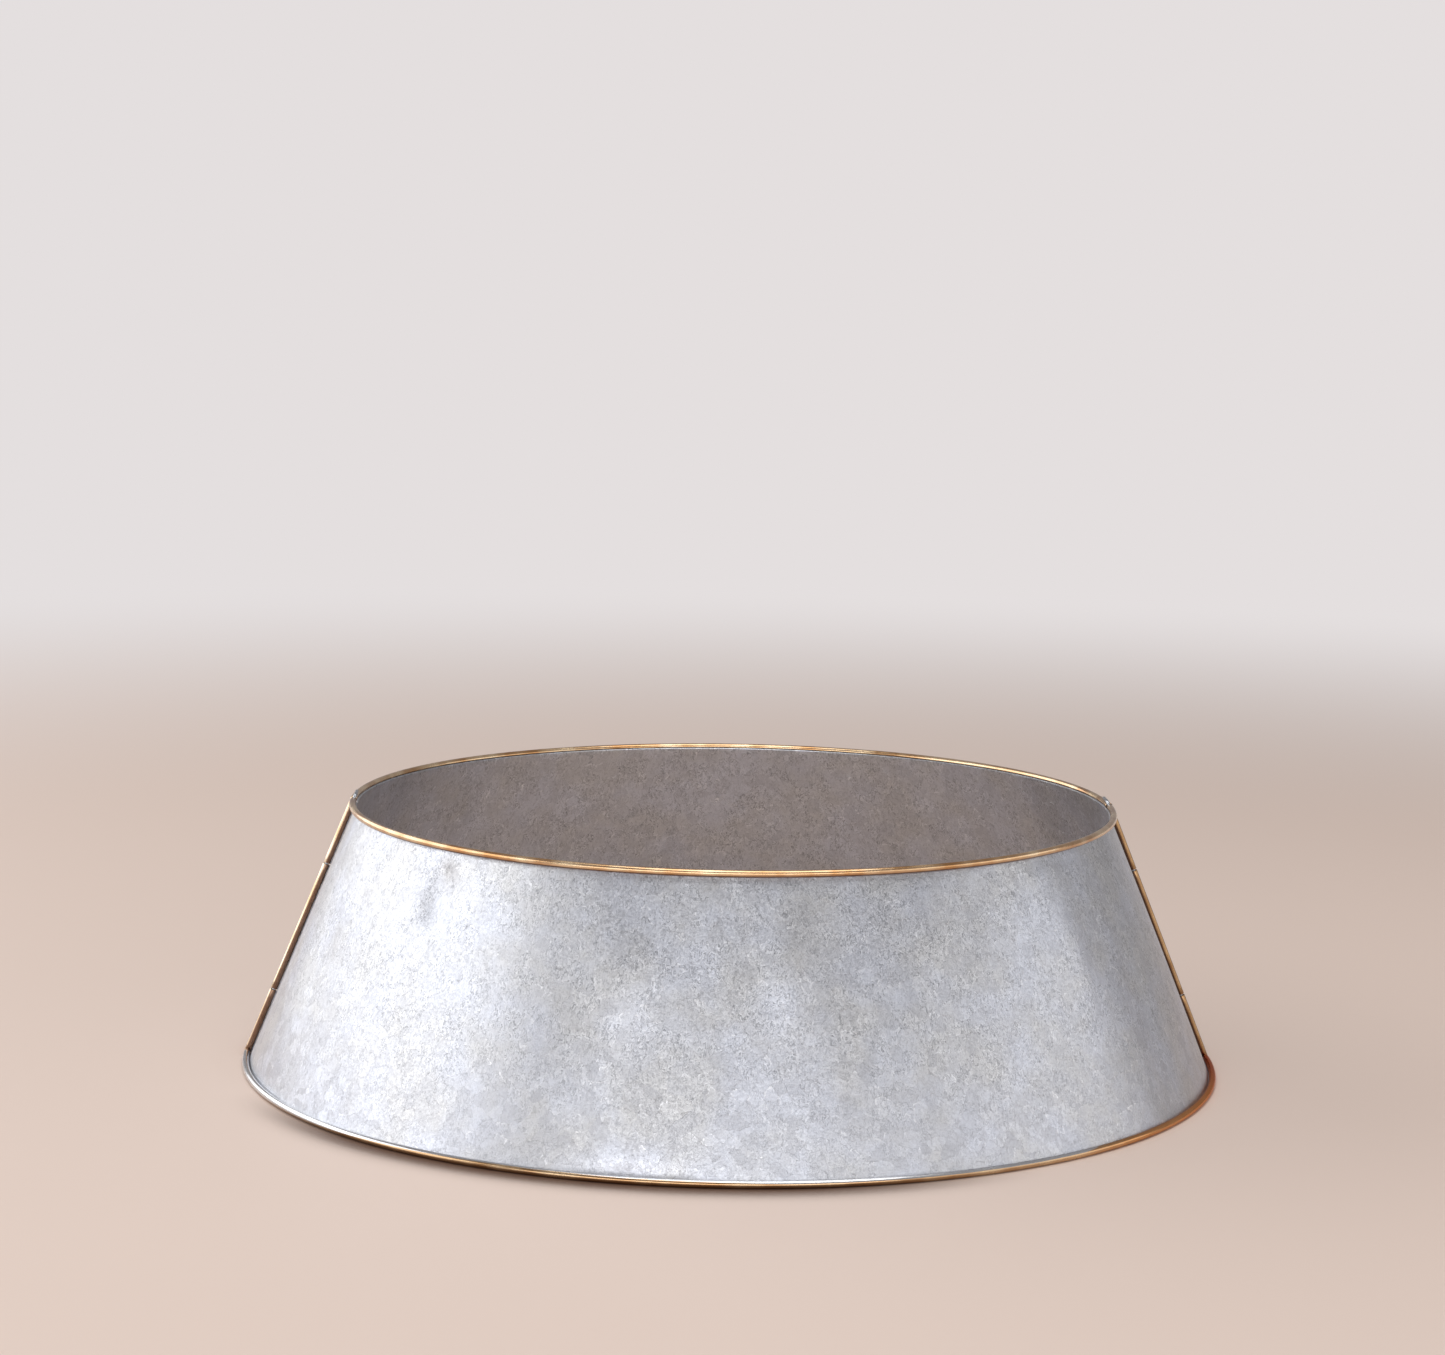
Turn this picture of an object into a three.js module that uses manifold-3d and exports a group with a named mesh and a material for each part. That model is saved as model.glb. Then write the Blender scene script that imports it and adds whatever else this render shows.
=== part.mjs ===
// A free-standing conical collar of sheet steel. Two equal half-cone panels, each edged with a round
// gold trim, are joined at both seams by knuckles with a pull-out rod through them.
// Millimetres, +Z up. The floor is z = 0, the collar's axis is Z, and its front faces -Y.
import * as THREE from "three";
import { mergeVertices } from "three/addons/utils/BufferGeometryUtils.js";
import Module from "manifold-3d";

const wasm = await Module();
wasm.setup();

// Driving dimensions of the collar
const bottomDiameter = 700; // over the bottom trim
const topDiameter = 549; // over the top trim
const collarHeight = 189; // from the floor to the top of the upper trim

// Sheet, trim and rod stock
const sheetThickness = 0.6;
const trimDiameter = 5.2;
const trimWall = 0.6;
const rodDiameter = 2.4;

// Fits
const seatClearance = 0.3; // pressed and soldered seats, and a rod's head on the rim
const lipReach = 0.4; // how far a panel's turned-out lip stands past the trim wall, inside the bore
const edgeClearance = 0.5; // from one panel's seam edge to the other panel's tab
const knuckleGap = 1; // between neighbouring knuckles on one rod
const trimEndGap = 3.4; // from the seam plane to the end of a top or bottom trim, which lets the seam swing
const floorClearance = 0.4; // under the lower knuckles
const tabRoot = 2; // how far a seam tab runs back over the panel it belongs to

// Seams
const knuckleBreakShares = [0.25, 0.75]; // where the knuckles part, as shares of the slope
const rodArmLength = 14; // the rod's finger arm, beyond its bend
const rodBendRadius = 3; // to the rod's centre line

// Facets
const roundSteps = 72; // round the whole collar
const trimSides = 12; // a flat side of the trim rests on the floor
const boreSides = 8;
const rodSides = 10;
const bendSteps = 5;

const cutOverrun = 20; // cutting blocks run this far past what they cut

// Sizes that follow from those above
const trimRadius = trimDiameter / 2;
const boreRadius = trimRadius - trimWall;
const rodRadius = rodDiameter / 2;
const flatRadius = trimRadius * Math.cos(Math.PI / trimSides); // to the middle of a flat side
const slotHalfWidth = sheetThickness / 2 + seatClearance;
const seamEdge = sheetThickness / 2 + edgeClearance; // a plain seam edge, from the seam plane

// The trim centres in the half plane (radius, height), and the slope between them
const bottomCentre = new THREE.Vector2(bottomDiameter / 2 - flatRadius, flatRadius);
const topCentre = new THREE.Vector2(topDiameter / 2 - flatRadius, collarHeight - flatRadius);
const slopeLength = bottomCentre.distanceTo(topCentre);
const along = topCentre.clone().sub(bottomCentre).divideScalar(slopeLength);
const outward = new THREE.Vector2(along.y, -along.x);

// Distances out of the slope, measured from the line of trim centres
const sheetOuter = -(trimRadius + seatClearance);
const sheetInner = sheetOuter - sheetThickness;
const lipEnd = -(boreRadius - lipReach);

// Places up the slope
const knuckleBottom = (floorClearance + trimRadius * outward.y - bottomCentre.y) / along.y;
const knuckleTop = slopeLength + (flatRadius - trimRadius * outward.y) / along.y;
const rodArmHeight = slopeLength + trimRadius + seatClearance + rodRadius;
const lowerBreak = knuckleBreakShares[0] * slopeLength;
const upperBreak = knuckleBreakShares[1] * slopeLength;

const galvanisedSteel = { color: 0xb4b6ba, roughness: 0.42, metalness: 0.9 };
const goldLacquer = { color: 0xc2884a, roughness: 0.28, metalness: 0.95 };
const zincedSteel = { color: 0xc9cbce, roughness: 0.35, metalness: 1 };

// A place given out of the slope and up the slope, as (radius, height).
function onSlope(out, up) {
  return bottomCentre.clone().addScaledVector(outward, out).addScaledVector(along, up);
}

function counterClockwise(points) {
  return THREE.ShapeUtils.isClockWise(points) ? points.slice().reverse() : points;
}

// Revolves a closed outline of (radius, height) points about Z.
function revolved(outline) {
  const points = counterClockwise(outline);
  const geometry = new THREE.LatheGeometry([...points, points[0].clone()], roundSteps);
  return geometry.rotateX(Math.PI / 2);
}

function solidFrom(geometry) {
  const bare = geometry.clone();
  for (const name of Object.keys(bare.attributes)) {
    if (name !== "position") bare.deleteAttribute(name);
  }
  const merged = mergeVertices(bare.index ? bare.toNonIndexed() : bare);
  return new wasm.Manifold(
    new wasm.Mesh({
      numProp: 3,
      vertProperties: merged.attributes.position.array,
      triVerts: new Uint32Array(merged.index.array),
    }),
  );
}

function geometryFrom(solid) {
  const { vertProperties, triVerts } = solid.getMesh();
  const geometry = new THREE.BufferGeometry();
  geometry.setAttribute("position", new THREE.BufferAttribute(vertProperties, 3));
  geometry.setIndex(new THREE.BufferAttribute(triVerts, 1));
  geometry.computeVertexNormals();
  return geometry;
}

// The block that holds everything on the front side of the seam plane, beyond the given distance.
function frontBlock(fromSeam) {
  const width = bottomDiameter + 2 * cutOverrun;
  const depth = bottomDiameter / 2 + cutOverrun;
  const block = new THREE.BoxGeometry(width, depth, collarHeight + 2 * cutOverrun);
  return solidFrom(block.translate(0, -fromSeam - depth / 2, collarHeight / 2));
}

// Points along an arc, both ends included.
function arcPoints(centre, radius, angles) {
  return angles.map(
    (angle) =>
      new THREE.Vector2(centre.x + radius * Math.cos(angle), centre.y + radius * Math.sin(angle)),
  );
}

// The section of the slit tube that all the trims and knuckles are cut from. Its flat sides are square to
// the floor's direction, and its slit, which faces slotAngle, takes a panel's turned-out lip.
function slitTubeOutline(centre, slotAngle) {
  const outerHalf = Math.asin(slotHalfWidth / trimRadius);
  const boreHalf = Math.asin(slotHalfWidth / boreRadius);
  const side = (2 * Math.PI) / trimSides;
  const first = slotAngle + outerHalf;
  const last = slotAngle + 2 * Math.PI - outerHalf;
  const corners = [];
  for (let corner = Math.ceil(first / side - 1 / 2) + 1 / 2; corner * side < last; corner += 1) {
    corners.push(corner * side);
  }
  const outer = arcPoints(centre, trimRadius, [first, ...corners, last]);
  const boreSpan = 2 * (Math.PI - boreHalf);
  const boreAngles = Array.from(
    { length: boreSides + 1 },
    (_, i) => slotAngle + boreHalf + (boreSpan * i) / boreSides,
  );
  return [...outer, ...arcPoints(centre, boreRadius, boreAngles).reverse()];
}

// Half a ring of slit tube, pressed over a panel's top or bottom lip.
function ringTrim(centre) {
  const slotAngle = Math.atan2(-outward.y, -outward.x);
  const ring = solidFrom(revolved(slitTubeOutline(centre, slotAngle)));
  return geometryFrom(ring.intersect(frontBlock(trimEndGap)));
}

// A length of slit tube on the seam's rod, between two places up the slope.
function knuckle(from, to) {
  const section = new THREE.Shape(slitTubeOutline(new THREE.Vector2(0, 0), Math.PI));
  const tube = new THREE.ExtrudeGeometry(section, { depth: to - from, bevelEnabled: false });
  return tube.translate(0, 0, from);
}

// Stands a geometry that was drawn in a seam's own frame, x out of the slope and z up it, on the +X seam.
function onSeam(geometry) {
  const place = new THREE.Matrix4().makeBasis(
    new THREE.Vector3(outward.x, 0, outward.y),
    new THREE.Vector3(0, 1, 0),
    new THREE.Vector3(along.x, 0, along.y),
  );
  place.setPosition(bottomCentre.x, 0, bottomCentre.y);
  return geometry.clone().applyMatrix4(place);
}

// The part of a panel that reaches the seam and turns out into a knuckle's slit.
function seamTab(from, to) {
  const farSide = sheetThickness / 2;
  const root = -(seamEdge + tabRoot);
  const section = new THREE.Shape(
    counterClockwise([
      new THREE.Vector2(sheetInner, root),
      new THREE.Vector2(sheetOuter, root),
      new THREE.Vector2(sheetOuter, -farSide),
      new THREE.Vector2(lipEnd, -farSide),
      new THREE.Vector2(lipEnd, farSide),
      new THREE.Vector2(sheetInner, farSide),
    ]),
  );
  const tab = new THREE.ExtrudeGeometry(section, { depth: to - from, bevelEnabled: false });
  return tab.translate(0, 0, from);
}

// A half-cone panel: a sloping sheet with its top and bottom edges turned out into narrow lips, and with
// tabs at the seams. On the right seam its tabs are at the top and bottom, and on the left in the middle.
function panel() {
  const half = sheetThickness / 2;
  const sheetOutline = [
    onSlope(sheetInner, -half),
    onSlope(sheetOuter, -half),
    onSlope(sheetOuter, slopeLength + half),
    onSlope(sheetInner, slopeLength + half),
  ];
  const lippedOutline = [
    onSlope(sheetInner, -half),
    onSlope(lipEnd, -half),
    onSlope(lipEnd, half),
    onSlope(sheetOuter, half),
    onSlope(sheetOuter, slopeLength - half),
    onSlope(lipEnd, slopeLength - half),
    onSlope(lipEnd, slopeLength + half),
    onSlope(sheetInner, slopeLength + half),
  ];
  const sheet = solidFrom(revolved(sheetOutline)).intersect(frontBlock(seamEdge));
  const lipped = solidFrom(revolved(lippedOutline)).intersect(frontBlock(trimEndGap));
  const lowerTab = seamTab(-half, lowerBreak - knuckleGap / 2);
  const upperTab = seamTab(upperBreak + knuckleGap / 2, slopeLength + half);
  const middleTab = seamTab(-upperBreak + knuckleGap / 2, -lowerBreak - knuckleGap / 2);
  const turned = middleTab.rotateX(Math.PI); // its root now lies on the other side of the seam plane
  const parts = [
    sheet,
    lipped,
    solidFrom(onSeam(lowerTab)),
    solidFrom(onSeam(upperTab)),
    solidFrom(onSeam(turned).rotateZ(Math.PI)),
  ];
  return geometryFrom(parts.reduce((whole, part) => whole.add(part)));
}

// The centre line of a seam rod: straight up the knuckles, a round bend, and a short finger arm.
class RodPath extends THREE.Curve {
  getUtoTmapping(u) {
    return u; // one station for each end, and the rest round the bend
  }

  getPoint(t, target = new THREE.Vector3()) {
    const station = t * (bendSteps + 2);
    const bendHeight = rodArmHeight - rodBendRadius;
    if (station <= 1) {
      return target.set(0, 0, THREE.MathUtils.lerp(knuckleBottom, bendHeight, station));
    }
    if (station >= bendSteps + 1) {
      return target.set(0, rodBendRadius + rodArmLength * (station - bendSteps - 1), rodArmHeight);
    }
    const turn = ((station - 1) / bendSteps) * (Math.PI / 2);
    return target.set(
      0,
      rodBendRadius * (1 - Math.cos(turn)),
      bendHeight + rodBendRadius * Math.sin(turn),
    );
  }
}

function rod() {
  const angles = Array.from({ length: rodSides }, (_, i) => (2 * Math.PI * i) / rodSides);
  const section = new THREE.Shape(arcPoints(new THREE.Vector2(0, 0), rodRadius, angles));
  return new THREE.ExtrudeGeometry(section, {
    steps: bendSteps + 2,
    extrudePath: new RodPath(),
    bevelEnabled: false,
  });
}

function piece(name, geometry, finish) {
  const mesh = new THREE.Mesh(geometry, new THREE.MeshStandardMaterial(finish));
  mesh.name = name;
  return mesh;
}

const panelGeometry = panel();
const topTrimGeometry = ringTrim(topCentre);
const bottomTrimGeometry = ringTrim(bottomCentre);
const lowerKnuckle = onSeam(knuckle(knuckleBottom, lowerBreak - knuckleGap / 2));
const upperKnuckle = onSeam(knuckle(upperBreak + knuckleGap / 2, knuckleTop));
const middleKnuckle = onSeam(knuckle(lowerBreak + knuckleGap / 2, upperBreak - knuckleGap / 2));
const rodGeometry = rod();

// One half of the collar. Seen from outside it, splitSide has the upper and lower knuckles and
// wholeSide has the middle one. The two halves are the same, and stand half a turn apart.
function collarHalf(name, splitSide, wholeSide) {
  const half = new THREE.Group();
  half.add(piece(name + "_panel", panelGeometry, galvanisedSteel));
  half.add(piece(name + "_top_trim", topTrimGeometry, goldLacquer));
  half.add(piece(name + "_bottom_trim", bottomTrimGeometry, goldLacquer));
  half.add(piece(name + "_" + splitSide + "_upper_knuckle", upperKnuckle, goldLacquer));
  half.add(piece(name + "_" + splitSide + "_lower_knuckle", lowerKnuckle, goldLacquer));
  const middle = piece(name + "_" + wholeSide + "_middle_knuckle", middleKnuckle, goldLacquer);
  middle.rotation.z = Math.PI;
  half.add(middle);
  return half;
}

const collar = new THREE.Group();
collar.add(collarHalf("front", "right", "left"));

const backHalf = collarHalf("back", "left", "right");
backHalf.rotation.z = Math.PI;
collar.add(backHalf);

// Both rods turn their finger arms to the back, over the rim.
const rightRod = piece("right_rod", onSeam(rodGeometry), zincedSteel);
const leftRod = piece("left_rod", onSeam(rodGeometry.clone().rotateZ(Math.PI)), zincedSteel);
leftRod.rotation.z = Math.PI;
collar.add(rightRod, leftRod);

export default collar;
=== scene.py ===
# A free-standing conical collar: two half cones of galvanised sheet, edged with gold lacquered tube and
# pinned together at both seams.

import math

import bmesh
import bpy
from mathutils import Matrix, Vector, noise


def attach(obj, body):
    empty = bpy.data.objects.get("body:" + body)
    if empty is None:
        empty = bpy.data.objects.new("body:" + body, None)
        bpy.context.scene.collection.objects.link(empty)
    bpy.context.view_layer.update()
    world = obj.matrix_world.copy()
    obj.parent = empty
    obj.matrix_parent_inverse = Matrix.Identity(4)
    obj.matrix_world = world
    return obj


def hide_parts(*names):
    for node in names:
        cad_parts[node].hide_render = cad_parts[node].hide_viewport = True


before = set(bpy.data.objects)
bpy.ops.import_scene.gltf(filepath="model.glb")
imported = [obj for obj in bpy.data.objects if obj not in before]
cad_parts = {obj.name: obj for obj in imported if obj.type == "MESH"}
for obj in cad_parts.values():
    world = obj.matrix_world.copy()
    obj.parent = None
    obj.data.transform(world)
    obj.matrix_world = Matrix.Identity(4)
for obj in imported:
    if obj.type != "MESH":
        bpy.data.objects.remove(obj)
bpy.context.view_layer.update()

scene = bpy.context.scene
mm = 0.001
hair = 0.02 * mm                 # nearer than this counts as the same place
weld = 0.0001 * mm               # points nearer than this are merged
squareEdge = math.radians(60)    # edges that turn more than this are rounded off

# the sizes that all the pieces share, as in the CAD
collar = {
    "bottomDiameter": 700 * mm,
    "topDiameter": 549 * mm,
    "height": 189 * mm,
    "tubeRadius": 2.51 * mm,         # across the flats of the CAD's tube, so that it stands on the floor
    "tubeWall": 0.6 * mm,
    "knuckleBreaks": (0.25, 0.75),   # shares of the slope where the knuckles part
    "knuckleGap": 1 * mm,
    "steps": 240,                    # round each half
}

# the centres of the rim tubes' section, over the right seam
bottomCentre = Vector((collar["bottomDiameter"] / 2 - collar["tubeRadius"], 0, collar["tubeRadius"]))
topCentre = Vector((
    collar["topDiameter"] / 2 - collar["tubeRadius"], 0, collar["height"] - collar["tubeRadius"]))
slopeLength = (topCentre - bottomCentre).length
along = (topCentre - bottomCentre).normalized()
outward = Vector((along.z, 0, -along.x))
lowerBreak = collar["knuckleBreaks"][0] * slopeLength
upperBreak = collar["knuckleBreaks"][1] * slopeLength
gap = collar["knuckleGap"] / 2
sheetBreaks = (lowerBreak - gap, lowerBreak + gap, upperBreak - gap, upperBreak + gap)


def onSlope(out, up):
    return bottomCentre + outward * out + along * up   # a place on the right seam


def slopePlace(point):
    # how far out of the slope and up it a point lies, whatever its side
    flat = Vector((math.hypot(point.x, point.y), 0, point.z)) - bottomCentre
    return flat.dot(outward), flat.dot(along)


def newVerts(result):
    return [item for item in result["geom"] if isinstance(item, bmesh.types.BMVert)]


def newEdges(result):
    return [item for item in result["geom"] if isinstance(item, bmesh.types.BMEdge)]


def addPiece(bm, name, body, node, material, sharpAngle=35):
    mesh = bpy.data.meshes.new(name)
    for face in bm.faces:
        face.smooth = True
    bm.to_mesh(mesh)
    bm.free()
    mesh.set_sharp_from_angle(angle=math.radians(sharpAngle))
    mesh.materials.append(material)
    piece = bpy.data.objects.new(name, mesh)
    scene.collection.objects.link(piece)
    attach(piece, body)
    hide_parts(node)
    return piece


def turnedHalf(bm):
    bmesh.ops.rotate(bm, verts=bm.verts[:], cent=(0, 0, 0), matrix=Matrix.Rotation(math.pi, 3, "Z"))


def linear(hexText):
    # sRGB hex to the linear values that a colour socket takes
    parts = [int(hexText[i:i + 2], 16) / 255 for i in (1, 3, 5)]
    return [p / 12.92 if p <= 0.04045 else ((p + 0.055) / 1.055) ** 2.4 for p in parts] + [1]


def newMaterial(name):
    material = bpy.data.materials.new(name)
    material.use_nodes = True
    material.node_tree.nodes.clear()
    return material


def addNode(material, kind, settings={}, inputs={}):
    # an input is given a value, or another node's output to link from
    node = material.node_tree.nodes.new(kind)
    for key, value in settings.items():
        setattr(node, key, value)
    for key, value in inputs.items():
        if isinstance(value, bpy.types.NodeSocket):
            material.node_tree.links.new(value, node.inputs[key])
        else:
            node.inputs[key].default_value = value
    return node


def greyStops(shares):
    # a ramp's stops for plain numbers
    return [(at, (share, share, share, 1)) for at, share in shares]


def setStops(rampNode, stops):
    ramp = rampNode.color_ramp
    while len(ramp.elements) < len(stops):
        ramp.elements.new(0.5)
    for element, (place, color) in zip(ramp.elements, stops):
        element.position = place
        element.color = color


# Hot-dip galvanised steel, passivated: feathered zinc crystals under a centimetre across hardly differ in
# tone, but they are scribbled over with short curling strokes, with a painted highlight on one side of each,
# and some crystals have a painted highlight as a bright crescent edge. Each crystal leans a little its own
# way, so that a highlight on the sheet breaks up into sparkling grain. Towards the foot the strokes thin out
# and the crystals themselves show more.
galvanised = {
    "cool": "#CDD1DB",
    "neutral": "#C8C9CB",
    "cloud": 38 * mm,              # cool and neutral areas
    "cloudRange": (0.38, 0.62),    # the part of the noise in which the one turns into the other
    "shade": "#B0B2B9",
    "shadeDepth": 0.58,            # the darkest crystal's share of it
    "footShadeDepth": 0.8,
    "crystal": 9 * mm,
    "flake": 1.5 * mm,
    "flakeShare": 0.35,            # how much the flakes count beside the crystals
    "warp": 4.4 * mm,              # how far the outlines wander
    "warpSize": 3.2 * mm,
    "strokeTone": "#787B80",
    "stroke": 2.3 * mm,            # the strokes curl over this length
    "strokeSquash": 0.5,           # and are twice as tall as wide
    "strokeWidth": 0.042,          # as a share of the noise's range
    "strokeDepth": 0.78,
    "strokePaintedHighlight": 0.42,
    "strokeRelief": 0.14 * mm,
    "scribbled": (0.2, 0.7),       # a crystal's number, from the least scribbled over to the most
    "leastScribbled": 0.4,
    "border": 0.8 * mm,            # strokes gather this near to a crystal's edge
    "borderShare": 0.6,
    "foot": (20 * mm, 85 * mm),    # the heights between which the foot's look gives way to the upper one
    "footScribbled": 0.5,
    # the tone of the painted highlights on the strokes and crescents
    "bright": "#F2F4F8",
    "crescentFrom": 0.6,           # the share of the crystals without a bright edge
    "crescentWidth": 1 * mm,
    "crescentLean": (0.4 * mm, 1.4 * mm),
    "crescentBreaks": (0.44, 0.52),
    "crescentPaintedHighlight": 0.9,
    "ringSpacing": 12 * mm,
    "ringRadius": 1.7 * mm,
    "ringWidth": 0.7 * mm,
    "ringDepth": 0.3,
    "crystalSlope": 0.025,         # the steepest that a face leans
    "flakeSlope": 0.045,
    "ripple": 0.03 * mm,           # the coating's thickness varies this much
    "rippleSize": 9 * mm,
    "roughness": (0.32, 0.44),
}


def galvanisedSteel():
    look = galvanised
    m = newMaterial("hotDipGalvanisedSteel")
    place = addNode(m, "ShaderNodeTexCoord").outputs["Object"]
    level = addNode(m, "ShaderNodeSeparateXYZ", {}, {0: place}).outputs["Z"]
    footEnd, upperStart = look["foot"]

    wander = addNode(m, "ShaderNodeTexNoise", {}, {
        "Vector": place, "Scale": 1 / look["warpSize"], "Detail": 5, "Roughness": 0.72})
    centred = addNode(m, "ShaderNodeVectorMath", {"operation": "SUBTRACT"}, {
        0: wander.outputs["Color"], 1: (0.5,) * 3})
    shift = addNode(m, "ShaderNodeVectorMath", {"operation": "SCALE"}, {
        0: centred.outputs[0], "Scale": look["warp"]})
    warped = addNode(m, "ShaderNodeVectorMath", {"operation": "ADD"}, {
        0: place, 1: shift.outputs[0]}).outputs[0]
    crystals = addNode(m, "ShaderNodeTexVoronoi", {}, {"Vector": warped, "Scale": 1 / look["crystal"]})
    borders = addNode(m, "ShaderNodeTexVoronoi", {"feature": "DISTANCE_TO_EDGE"}, {
        "Vector": warped, "Scale": 1 / look["crystal"]})
    flakes = addNode(m, "ShaderNodeTexVoronoi", {}, {"Vector": warped, "Scale": 1 / look["flake"]})
    rings = addNode(m, "ShaderNodeTexVoronoi", {}, {"Vector": warped, "Scale": 1 / look["ringSpacing"]})
    clouds = addNode(m, "ShaderNodeTexNoise", {}, {"Vector": place, "Scale": 1 / look["cloud"], "Detail": 3})
    crystalParts = addNode(m, "ShaderNodeSeparateColor", {}, {"Color": crystals.outputs["Color"]})
    flakeParts = addNode(m, "ShaderNodeSeparateColor", {}, {"Color": flakes.outputs["Color"]})

    # cool and neutral clouds, and each crystal its own tone
    low, high = look["cloudRange"]
    cloudy = addNode(m, "ShaderNodeMapRange", {}, {
        "Value": clouds.outputs["Fac"], "From Min": low, "From Max": high})
    ground = addNode(m, "ShaderNodeMix", {"data_type": "RGBA"}, {
        0: cloudy.outputs[0], 6: linear(look["cool"]), 7: linear(look["neutral"])})
    mixed = addNode(m, "ShaderNodeMath", {"operation": "MULTIPLY_ADD"}, {
        0: flakeParts.outputs[0], 1: look["flakeShare"], 2: crystalParts.outputs[0]})
    deepest = addNode(m, "ShaderNodeMapRange", {}, {
        "Value": level, "From Min": footEnd, "From Max": upperStart,
        "To Min": look["footShadeDepth"], "To Max": look["shadeDepth"]})
    shadeShare = addNode(m, "ShaderNodeMapRange", {}, {
        "Value": mixed.outputs[0], "From Max": 1 + look["flakeShare"], "To Max": deepest.outputs[0]})
    toned = addNode(m, "ShaderNodeMix", {"data_type": "RGBA"}, {
        0: shadeShare.outputs[0], 6: ground.outputs[2], 7: linear(look["shade"])})

    # short curling strokes, dark on one side and with a painted highlight on the other, thickest where the
    # crystal is a scribbled one or near its border
    squashed = addNode(m, "ShaderNodeMapping", {}, {"Vector": place, "Scale": (1, 1, look["strokeSquash"])})
    strokes = addNode(m, "ShaderNodeTexNoise", {}, {
        "Vector": squashed.outputs[0], "Scale": 1 / look["stroke"], "Detail": 2, "Roughness": 0.6,
        "Distortion": 0.8})
    low, high = look["scribbled"]
    scribbled = addNode(m, "ShaderNodeMapRange", {}, {
        "Value": crystalParts.outputs[1], "From Min": low, "From Max": high, "To Min": look["leastScribbled"]})
    nearBorder = addNode(m, "ShaderNodeMapRange", {}, {
        "Value": borders.outputs["Distance"], "From Min": look["border"] / look["crystal"], "From Max": 0.0,
        "To Max": look["borderShare"]})
    upperShare = addNode(m, "ShaderNodeMath", {"operation": "MAXIMUM"}, {
        0: scribbled.outputs[0], 1: nearBorder.outputs[0]})
    thinned = addNode(m, "ShaderNodeMapRange", {}, {
        "Value": level, "From Min": footEnd, "From Max": upperStart, "To Min": look["footScribbled"]})
    gathered = addNode(m, "ShaderNodeMath", {"operation": "MULTIPLY"}, {
        0: upperShare.outputs[0], 1: thinned.outputs[0]})
    strokeShares = []
    for side, depth in ((-1, look["strokeDepth"]), (1, look["strokePaintedHighlight"])):
        off = addNode(m, "ShaderNodeMath", {"operation": "SUBTRACT"}, {
            0: strokes.outputs["Fac"], 1: 0.5 + side * look["strokeWidth"]})
        away = addNode(m, "ShaderNodeMath", {"operation": "ABSOLUTE"}, {0: off.outputs[0]})
        line = addNode(m, "ShaderNodeMapRange", {}, {
            "Value": away.outputs[0], "From Min": look["strokeWidth"], "From Max": 0.0, "To Max": depth})
        strokeShares.append(addNode(m, "ShaderNodeMath", {"operation": "MULTIPLY"}, {
            0: gathered.outputs[0], 1: line.outputs[0]}).outputs[0])

    # small dark rings
    fromRing = addNode(m, "ShaderNodeMath", {"operation": "SUBTRACT"}, {
        0: rings.outputs["Distance"], 1: look["ringRadius"] / look["ringSpacing"]})
    offRing = addNode(m, "ShaderNodeMath", {"operation": "ABSOLUTE"}, {0: fromRing.outputs[0]})
    onRing = addNode(m, "ShaderNodeMapRange", {}, {
        "Value": offRing.outputs[0], "From Min": look["ringWidth"] / 2 / look["ringSpacing"], "From Max": 0.0,
        "To Max": look["ringDepth"]})
    darkShare = addNode(m, "ShaderNodeMath", {"operation": "MAXIMUM"}, {
        0: strokeShares[0], 1: onRing.outputs[0]})
    withStrokes = addNode(m, "ShaderNodeMix", {"data_type": "RGBA"}, {
        0: darkShare.outputs[0], 6: toned.outputs[2], 7: linear(look["strokeTone"])})

    # how far across its cell a point is, the way that the cell's facet leans
    facets = []
    for cells in (crystals, flakes):
        middle = addNode(m, "ShaderNodeVectorMath", {"operation": "SUBTRACT"}, {
            0: warped, 1: cells.outputs["Position"]})
        lean = addNode(m, "ShaderNodeVectorMath", {"operation": "SUBTRACT"}, {
            0: cells.outputs["Color"], 1: (0.5,) * 3})
        facets.append(addNode(m, "ShaderNodeVectorMath", {"operation": "DOT_PRODUCT"}, {
            0: middle.outputs[0], 1: lean.outputs[0]}).outputs["Value"])

    # painted highlight: some crystals have a broken bright crescent along the edge that they lean to
    thin = addNode(m, "ShaderNodeMapRange", {}, {
        "Value": borders.outputs["Distance"], "From Min": look["crescentWidth"] / look["crystal"],
        "From Max": 0.0})
    low, high = look["crescentLean"]
    leaning = addNode(m, "ShaderNodeMapRange", {}, {"Value": facets[0], "From Min": low, "From Max": high})
    crescent = addNode(m, "ShaderNodeMath", {"operation": "MULTIPLY"}, {
        0: thin.outputs[0], 1: leaning.outputs[0]})
    chosen = addNode(m, "ShaderNodeMapRange", {}, {
        "Value": crystalParts.outputs[2], "From Min": look["crescentFrom"]})
    whole = addNode(m, "ShaderNodeMath", {"operation": "MULTIPLY"}, {
        0: crescent.outputs[0], 1: chosen.outputs[0]})
    low, high = look["crescentBreaks"]
    broken = addNode(m, "ShaderNodeMapRange", {}, {
        "Value": strokes.outputs["Fac"], "From Min": low, "From Max": high, "To Max": look["crescentPaintedHighlight"]})
    crescentShare = addNode(m, "ShaderNodeMath", {"operation": "MULTIPLY"}, {
        0: whole.outputs[0], 1: broken.outputs[0]})
    paintedHighlightShare = addNode(m, "ShaderNodeMath", {"operation": "MAXIMUM"}, {
        0: strokeShares[1], 1: crescentShare.outputs[0]})
    # the zinc's colour with the painted highlights of strokes and crescents laid over it
    zinc = addNode(m, "ShaderNodeMix", {"data_type": "RGBA"}, {
        0: paintedHighlightShare.outputs[0], 6: withStrokes.outputs[2], 7: linear(look["bright"])})
    low, high = look["roughness"]
    rough = addNode(m, "ShaderNodeMapRange", {}, {
        "Value": flakeParts.outputs[0], "To Min": low, "To Max": high})

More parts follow.
